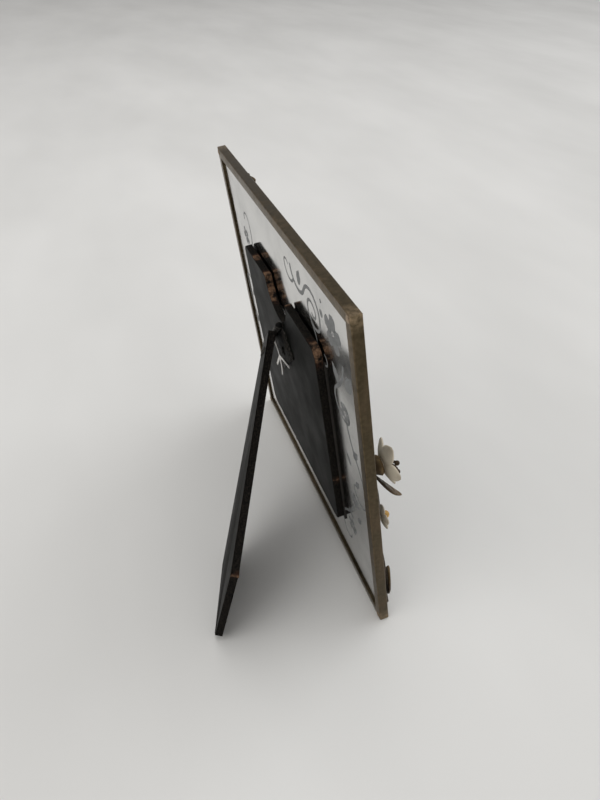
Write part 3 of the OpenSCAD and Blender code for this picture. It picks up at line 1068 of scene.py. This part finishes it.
def leaf_wear(point):
    """Paint chips along the leaf's rim and on its knuckles."""
    to_rim = min(leaf_half - abs(point.x), point.z - leaf_low.z)
    return 0.7 if to_rim < WORN_RIM or point.y > 0 else 0.05


mark_worn(board_leaf, leaf_wear)
fit_out(board_leaf, black_steel, SHUT, "frame", "black_steel", "hinge_board_leaf")

# %% [markdown]
# The strut's leaf has one knuckle between the other two. Its upper edge carries a lip that
# meets the board when the leg has opened far enough, and so stops it there.

# %% The strut's leaf with its stop lip
strut_half = strut_leaf_high.x
plate_y = strut_low.y - SHEET_T / 2
strut_leaf = rolled_leaf(
    "hinge_leaf_strut", strut_half, [(-KNUCKLE_HALF, KNUCKLE_HALF)], strut_leaf_low.z, plate_y, 330
)
lip = box_at(
    "stop_lip",
    Vector((-KNUCKLE_HALF, plate_y - SHEET_T / 2, KNUCKLE_R * 0.8)),
    Vector((KNUCKLE_HALF, plate_y + SHEET_T / 2, strut_leaf_high.z)),
)
modify(lip, "BEVEL", width=0.12 * MM, segments=2)
strut_leaf = joined([strut_leaf, lip], "hinge_leaf_strut")
mark_worn(strut_leaf, lambda p: 1.0 if p.z > KNUCKLE_R or strut_half - abs(p.x) < WORN_RIM else 0.3)
fit_out(strut_leaf, black_steel, OPEN, "strut", "black_steel", "hinge_strut_leaf")

# %% [markdown]
# The pin is a rod whose ends were hammered over into low domes. The tubular rivets are
# turned shapes: a half outline of the head, with its hollow, is spun once round its axis.
# The last fastener is a split rivet, whose four legs were pushed through the board and
# bent out flat over the leaf, a little uneven and lifting at their tips.

# %% Pin
PIN_R = 0.7 * MM
HEAD_R = 1.1 * MM
DOME = ((HEAD_R / PIN_R, 0.0), (1.0, 0.3), (0.82, 0.18), (0.45, 0.12))
deselect()
bpy.ops.mesh.primitive_cylinder_add(
    vertices=32, radius=PIN_R, depth=2 * leaf_high.x + 0.2 * MM, rotation=(0, math.pi / 2, 0)
)
pin = bpy.context.object
bpy.ops.object.transform_apply(rotation=True)
edit(pin)
for side in (-1, 1):
    pick("faces", lambda m, f: side * m.x > leaf_high.x - TINY and len(f.verts) > 8)
    for reach, out in DOME:
        bpy.ops.mesh.extrude_region_move(TRANSFORM_OT_translate={"value": (side * out * MM, 0, 0)})
        bpy.ops.transform.resize(value=(1, reach, reach))
done()
pin.name = "peened_pin"
fit_out(pin, black_steel, SHUT, "frame", "black_steel", "hinge_pin", angle=50)

# %% Tubular rivets
HEAD_H = 0.5 * MM
RIVET_GAP = 1.5 * MM


def turned(outline, axis, steps):
    """A turned shape: an outline of (radius, place along the axis) spun once round."""
    deselect()
    bpy.ops.mesh.primitive_circle_add(vertices=len(outline), radius=1)
    piece = bpy.context.object
    for vertex, (radius, along) in zip(piece.data.vertices, outline):
        vertex.co = ACROSS * radius + axis * along
    edit(piece)
    pick("edges", lambda m, e: {v.index for v in e.verts} == {0, len(outline) - 1})
    bpy.ops.mesh.delete(type="EDGE_FACE")
    bpy.ops.mesh.select_all(action="SELECT")
    bpy.ops.mesh.spin(steps=steps, angle=math.tau, center=(0, 0, 0), axis=axis)
    face_outwards(merge=True)
    return piece


def tube_rivet(x, z, foot_y, head_y, top_y, head_r, shank_r):
    """A rivet along y: shank, flared head and the hollow down its middle."""
    outline = [
        (shank_r, foot_y),
        (shank_r, head_y),
        (head_r, head_y),
        (head_r * 0.98, head_y + 0.15 * MM),
        (head_r * 0.72, top_y),
        (head_r * 0.5, top_y),
        (head_r * 0.34, top_y - 0.3 * MM),
        (0, top_y - 0.45 * MM),
    ]
    rivet = turned(outline, Vector((0, 1, 0)), 28)
    rivet.location = (x, 0, z)
    bpy.ops.object.transform_apply(location=True)
    return rivet


def rivet_centres(node, place):
    """Middles in x and z of the separate rivets in one CAD node, sorted from left to right."""
    to_local = place.inverted()
    points = sorted((to_local @ v.co for v in frame["nodes"][node].data.vertices), key=lambda p: p.x)
    groups = [[points[0]]]
    for point in points[1:]:
        if point.x - groups[-1][-1].x > RIVET_GAP:
            groups.append([])
        groups[-1].append(point)
    return [((g[0].x + g[-1].x) / 2, sum(p.z for p in g) / len(g)) for g in groups]


for name, node, place, body in (
    ("board_rivets", "leaf_rivets", SHUT, "frame"),
    ("leg_rivets", "strut_rivets", OPEN, "strut"),
):
    low, high = measure(node, place)
    centres = rivet_centres(node, place)
    head_r = (high.z - low.z) / 2
    head_y = high.y - HEAD_H
    rivets = [tube_rivet(x, z, low.y, head_y, high.y, head_r, head_r / 2) for x, z in centres]
    print(name, "at", [(round(x / MM, 1), round(z / MM, 1)) for x, z in centres])
    mark_worn(joined(rivets, name), lambda p: 1.0 if p.y > high.y - 0.1 * MM else 0.4)
    fit_out(rivets[0], black_steel, place, body, "black_steel", node)

# %% Split rivet
LEGS = ((18, 204), (10, -51), (11, -9), (7.6, 100))
LEG_T = 0.35 * MM
LEG_W = 1.7 * MM
SHANK_R = 1.05 * MM
LEG_PARTS = 6
CURL = 0.45 * MM
star_low, star_high = measure("star_rivet", SHUT)
star_x = 12 * MM
star_z = -9.5 * MM
leg_y = star_high.y - LEG_T / 2
legs = []
for length, angle in LEGS:
    leg = box_at("leg", Vector((0, -LEG_T / 2, -LEG_W / 2)), Vector((length * MM, LEG_T / 2, LEG_W / 2)))
    edit(leg)
    for k in range(1, LEG_PARTS):
        cut(Vector((length * MM * k / LEG_PARTS, 0, 0)), (1, 0, 0), fill=False)
    for k in range(LEG_PARTS + 1):
        far = k / LEG_PARTS
        at = length * MM * far
        pick("verts", lambda m, v: abs(m.x - at) < TINY)
        bpy.ops.transform.resize(value=(1, 1, 1 - 0.3 * far), center_override=(at, 0, 0))
        sway = 0.25 * MM * math.sin(k * 1.3 + angle)
        bpy.ops.transform.translate(value=(0, CURL * far**3, sway * far))
    done()
    modify(leg, "BEVEL", width=0.09 * MM, segments=2)
    leg.rotation_euler = (0, -math.radians(angle), 0)
    leg.location = (star_x, leg_y, star_z)
    bpy.ops.object.transform_apply(location=True, rotation=True)
    legs.append(leg)
deselect()
bpy.ops.mesh.primitive_cylinder_add(
    vertices=24,
    radius=SHANK_R,
    depth=leg_y - star_low.y,
    rotation=(math.pi / 2, 0, 0),
    location=(star_x, (leg_y + star_low.y) / 2, star_z),
)
shank = bpy.context.object
bpy.ops.object.transform_apply(location=True, rotation=True)
modify(shank, "BEVEL", width=0.15 * MM, segments=2)
star = joined(legs + [shank], "split_rivet")
fit_out(star, bright_steel, SHUT, "frame", "bright_steel", "star_rivet")

# %% [markdown]
# The ornaments on the front are cast and wired. A vine of thick wire climbs the left bar
# of the rim and carries an enamelled bloom, a small flower and leaves, and a lighter spray
# curls round the upper right corner. Each wire is drawn in the plane of the front.
# A petal starts as one flat grid, which is dished,
# made narrow at its foot, lifted towards its tip and given a thickness. Five petals stand
# in a ring about the flower's middle, no two lifted by quite the same amount.

# %% Ornament finishes
dark_bronze, shader = new_finish("dark_bronze", (0.045, 0.032, 0.022), 0.45, 0.85)
worn = worn_share(shader)
cloud = grain(shader, 420, 4)
patches = span(shader, cloud, 0.4, 0.65, 0, 1)
tone = blend_colours(shader, patches, (0.03, 0.021, 0.015), (0.075, 0.052, 0.032))
tone = blend_colours(shader, product(shader, worn, 0.7), tone, (0.26, 0.18, 0.09))
use(shader, "Base Color", tone)
use(shader, "Roughness", span(shader, cloud, 0.35, 0.7, 0.62, 0.4))
bump(shader, grain(shader, 1500, 3), 0.03, 0.5)

cream_enamel, shader = new_finish("cream_enamel", (0.6, 0.52, 0.38), 0.3, 0.0)
worn = worn_share(shader)
cloud = grain(shader, 300, 4)
tone = blend_colours(shader, span(shader, cloud, 0.35, 0.7, 0, 1), (0.74, 0.69, 0.58), (0.60, 0.52, 0.39))
tone = blend_colours(shader, worn, tone, (0.13, 0.085, 0.045))
use(shader, "Base Color", tone)
use(shader, "Roughness", span(shader, cloud, 0.3, 0.7, 0.2, 0.42))
bump(shader, grain(shader, 900, 2), 0.04, 0.4)

gold_bead, shader = new_finish("gold_bead", (0.75, 0.5, 0.2), 0.25, 1.0)
cloud = grain(shader, 700, 3)
use(shader, "Base Color", blend_colours(shader, cloud, (0.8, 0.55, 0.22), (0.5, 0.32, 0.12)))
use(shader, "Roughness", span(shader, cloud, 0.3, 0.7, 0.18, 0.4))
bump(shader, grain(shader, 1600, 2), 0.02, 0.4)

# %% Wires, blades and domes on the front's axes
FRONT = SHEET @ Matrix.Translation((0, -RIM_DEPTH, 0)) @ Matrix.Rotation(math.pi / 2, 4, "X")
VINE_R = 0.9 * MM
SPRAY_R = 0.7 * MM
WIRE_STEPS = 8
MELTED = 1.1


def place_on(parts, x, z, turn=0.0, off=0.0, tilt=0.0):
    """Moves pieces to a spot on the front: x and up in mm, turned, lifted and tilted."""
    spot = (
        Matrix.Translation((x * MM, z * MM, off))
        @ Matrix.Rotation(math.radians(turn), 4, "Z")
        @ Matrix.Rotation(math.radians(tilt), 4, "X")
    )
    deselect()
    for part in parts:
        part.matrix_world = spot @ part.matrix_world
        part.select_set(True)
    bpy.context.view_layer.objects.active = parts[0]
    bpy.ops.object.transform_apply(location=True, rotation=True, scale=True)
    return parts


def ball(place, radius):
    """A ball about a point."""
    deselect()
    bpy.ops.mesh.primitive_uv_sphere_add(segments=20, ring_count=12, radius=radius, location=place)
    bpy.ops.object.transform_apply(location=True)
    return bpy.context.object


def wire(start, heading, runs, radius):
    """A round wire bent along arcs, with a ball on each end."""
    deselect()
    bpy.ops.mesh.primitive_circle_add(vertices=14, radius=radius, rotation=(math.pi / 2, 0, 0))
    piece = bpy.context.object
    bpy.ops.object.transform_apply(rotation=True)
    x, y = start[0] * MM, start[1] * MM
    piece.matrix_world = Matrix.Translation((x, y, radius)) @ Matrix.Rotation(math.radians(heading), 4, "Z")
    bpy.ops.object.transform_apply(location=True, rotation=True)
    ends = [ball((x, y, radius), radius * MELTED)]
    edit(piece)
    bpy.ops.mesh.select_all(action="SELECT")
    for middle, angle, (x, y) in arcs((x, y), heading, runs):
        bpy.ops.mesh.spin(steps=WIRE_STEPS, angle=angle, center=(*middle, radius), axis=(0, 0, -1))
    face_outwards()
    ends.append(ball((x, y, radius), radius * MELTED))
    return [piece] + ends


BLADE_ROWS = 12
BLADE_COLUMNS = 8
RIB = 0.25 * MM


def blade(length, width, thick, lift, full=1.0, cup=0.0):
    """A leaf or petal from the origin along y; full moves its widest place outward."""
    deselect()
    bpy.ops.mesh.primitive_grid_add(
        x_subdivisions=BLADE_COLUMNS, y_subdivisions=BLADE_ROWS, size=1, location=(0, 0.5, 0)
    )
    piece = bpy.context.object
    bpy.ops.object.transform_apply(location=True)
    edit(piece)
    for c in range(BLADE_COLUMNS + 1):
        x = c / BLADE_COLUMNS - 0.5
        pick("verts", lambda m, v: abs(m.x - x) < 1e-4)
        bpy.ops.transform.translate(value=(0, 0, cup * MM * (2 * x) ** 2))
    pick("verts", lambda m, v: abs(m.x) < 1e-4)
    bpy.ops.transform.translate(value=(0, 0, RIB))
    for k in range(BLADE_ROWS + 1):
        y = k / BLADE_ROWS
        share = max(0.12, math.sin(math.pi * (0.04 + 0.93 * y) ** full))
        pick("verts", lambda m, v: abs(m.y - y) < 1e-4)
        bpy.ops.transform.resize(value=(width * MM * share, 1, share), center_override=(0, y, 0))
        bpy.ops.transform.translate(value=(0, 0, thick * MM / 2 + lift * MM * y * y))
    bpy.ops.mesh.select_all(action="SELECT")
    bpy.ops.transform.resize(value=(1, length * MM, 1), center_override=(0, 0, 0))
    done()
    modify(piece, "SOLIDIFY", thickness=thick * MM * 0.8, offset=0.0)
    modify(piece, "SUBSURF", levels=1)
    return piece


def rounded_disc(radius, height, vertices, edge):
    """A low cylinder standing on z = 0 with rounded edges; sizes in mm."""
    deselect()
    bpy.ops.mesh.primitive_cylinder_add(
        vertices=vertices, radius=radius * MM, depth=height * MM, location=(0, 0, height / 2 * MM)
    )
    disc = bpy.context.object
    bpy.ops.object.transform_apply(location=True)
    return modify(disc, "BEVEL", width=edge * MM, segments=3, limit_method="ANGLE")


def petal_wear(length):
    """Enamel is thin near a petal's foot and along its tip."""

    def share(point):
        along = point.y / (length * MM)
        return max(0.0, 1 - along / 0.55) + 0.5 * along**6

    return share


def petal_ring(count, length, width, thick, lift, turn, heart_r, heart_h):
    """Petals round a raised heart."""
    parts = [rounded_disc(heart_r, heart_h, 32, 0.3)]
    for i in range(count):
        petal = blade(length, width, thick, lift * random.uniform(0.9, 1.0), 1.4, 0.7)
        mark_worn(petal, petal_wear(length))
        parts += place_on([petal], 0, 0, turn + i * 360 / count)
    return parts


def dome(radius, flat):
    """A bead with its underside cut flat."""
    bead = ball((0, 0, flat), radius)
    edit(bead)
    cut(Vector((0, 0, 0)), (0, 0, -1))
    done()
    return bead


def put(parts, name, material, slot, node):
    """Joins pieces and fits them out on the front of the frame."""
    fit_out(joined(parts, name), material, FRONT, "frame", slot, node, angle=50)


def edge_worn(piece, tip):
    """Marks a blade worn on its tip."""
    mark_worn(piece, lambda p: min(1.0, max(0.1, p.y / (tip * MM)) ** 2))
    return piece

# %% [markdown]
# The vine climbs in slow bends from the lower corner up to the bloom. The spray's wire
# rises beside the right bar and bends over to the top one. Both ends of each wire carry a
# small ball, as a melted wire does.

# %% Vine and spray wires
random.seed(7)
vine_runs = [(60, 16, 1), (30, 30, -1), (30, 44, 1), (20, 40, -1), (60, 3.6, 1)]
put(wire((-76, 6), -8, vine_runs, VINE_R), "vine_wire", dark_bronze, "dark_bronze", "vine_stem")
spray_runs = [(22, 76, 1), (24, 40, -1)]
put(wire((77, 120), 4, spray_runs, SPRAY_R), "spray_wire", dark_bronze, "dark_bronze", "spray_stem")

# %% [markdown]
# The bloom stands on a turned cup beside the rim's lip. Five enamelled petals sit on the
# cup round a raised heart, and three curled wires with ball ends rise from it.

# %% Large bloom
BLOOM = (-71, 81)
CALYX_H = 5
HEART_H = 1.65
foot = measure("bloom_calyx", FRONT)[0].z / MM
cup = [(0, foot), (2.2, foot), (2.4, 0.4), (2.6, 1.5), (3.2, 3.0), (3.9, 4.4), (3.4, CALYX_H), (0, CALYX_H)]
calyx = turned([(r * MM, z * MM) for r, z in cup], Vector((0, 0, 1)), 30)
mark_worn(calyx, lambda p: 1.0 if p.z > 4 * MM else 0.2)
put(place_on([calyx], *BLOOM), "bloom_cup", dark_bronze, "dark_bronze", "bloom_calyx")

petals = petal_ring(5, 9, 7.6, 0.9, 3.4, 18, 2.4, HEART_H)
place_on(petals, *BLOOM, 0, CALYX_H * MM)
put(petals, "bloom_petal_ring", cream_enamel, "cream_enamel", "bloom_petals")

# %% Curled wires of the bloom
CURL_R = 2.6
bow = math.radians(70)
stamens = []
for i in range(3):
    deselect()
    bpy.ops.mesh.primitive_circle_add(vertices=12, radius=0.5 * MM)
    curl = bpy.context.object
    edit(curl)
    bpy.ops.mesh.select_all(action="SELECT")
    bpy.ops.mesh.spin(steps=10, angle=math.pi - bow, center=(CURL_R * MM, 0, 0), axis=(0, -1, 0))
    face_outwards()
    tip = ball(((CURL_R + CURL_R * math.cos(bow)) * MM, 0, CURL_R * math.sin(bow) * MM), 0.95 * MM)
    for part in (curl, tip):
        part.matrix_world = Matrix.Translation((1 * MM, 0, 0.5 * MM)) @ part.matrix_world
    stamens += place_on([curl, tip], 0, 0, 150 + i * 55)
stamens.append(rounded_disc(1.9, 0.8, 24, 0.25))
place_on(stamens, *BLOOM, 0, (CALYX_H + HEART_H) * MM)
put(stamens, "bloom_curls", dark_bronze, "dark_bronze", "bloom_stamens")

# %% [markdown]
# The leaves are cast: a long pointed one under the bloom, one at the vine's foot and a
# pair on the spray. Each is the same blade as a petal, but folded down along its edges.

# %% Leaves
leaf = edge_worn(blade(15, 8, 1, 1.5, 1.0, -0.5), 15)
place_on([leaf], BLOOM[0] - 0.5, BLOOM[1] - 4, 168, 2 * VINE_R, 30)
put([leaf], "pointed_leaf", dark_bronze, "dark_bronze", "bloom_leaf")
leaf = edge_worn(blade(17, 7, 1.2, 1.4, 1.0, -0.5), 17)
put(place_on([leaf], -75, 9, -3, 2 * VINE_R), "low_leaf", dark_bronze, "dark_bronze", "foot_leaf")
leaves = place_on([edge_worn(blade(11, 5, 1, 0.8, 1.0, -0.4), 11)], 75, 127, 14, 2 * SPRAY_R)
leaves += place_on([edge_worn(blade(13, 4.6, 1, 0.8, 1.0, -0.4), 13)], 54, 141.8, 68, 2 * SPRAY_R)
put(leaves, "spray_leaf_pair", dark_bronze, "dark_bronze", "spray_leaves")

# %% [markdown]
# A small flower sits on each wire: the same petal ring in a smaller size, with a gilt bead
# on its heart. A bead is a ball with its underside cut flat.

# %% Small flowers and beads
SMALL_FLOWERS = (
    {
        "names": ("small_petals", "small_bead"),
        "nodes": ("small_bloom_petals", "small_bloom_bead"),
        "place": (-73.5, 57),
        "wire": VINE_R,
        "petal": (5.4, 4.6, 0.8, 1.4),
        "turn": 0,
        "heart": (1.6, 1.4),
        "bead": (1.5, 1.2),
    },
    {
        "names": ("spray_petal_ring", "spray_dome"),
        "nodes": ("spray_petals", "spray_bead"),
        "place": (61.5, 139.8),
        "wire": SPRAY_R,
        "petal": (4.6, 4, 0.8, 1.2),
        "turn": 36,
        "heart": (1.4, 1.2),
        "bead": (1.2, 0.9),
    },
)
for small in SMALL_FLOWERS:
    petals = petal_ring(5, *small["petal"], small["turn"], *small["heart"])
    place_on(petals, *small["place"], 0, 2 * small["wire"])
    put(petals, small["names"][0], cream_enamel, "cream_enamel", small["nodes"][0])
    bead_r, bead_level = small["bead"]
    bead = dome(bead_r * MM, bead_level * MM)
    place_on([bead], *small["place"], 0, 2 * small["wire"] + small["heart"][1] * MM)
    put([bead], small["names"][1], gold_bead, "gold_bead", small["nodes"][1])

# %% Sizes and finish
seen_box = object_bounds()
for label, corners in (("CAD", cad_box), ("visual", seen_box)):
    print(label, "box in mm", [[round(v / MM, 2) for v in corner] for corner in corners])
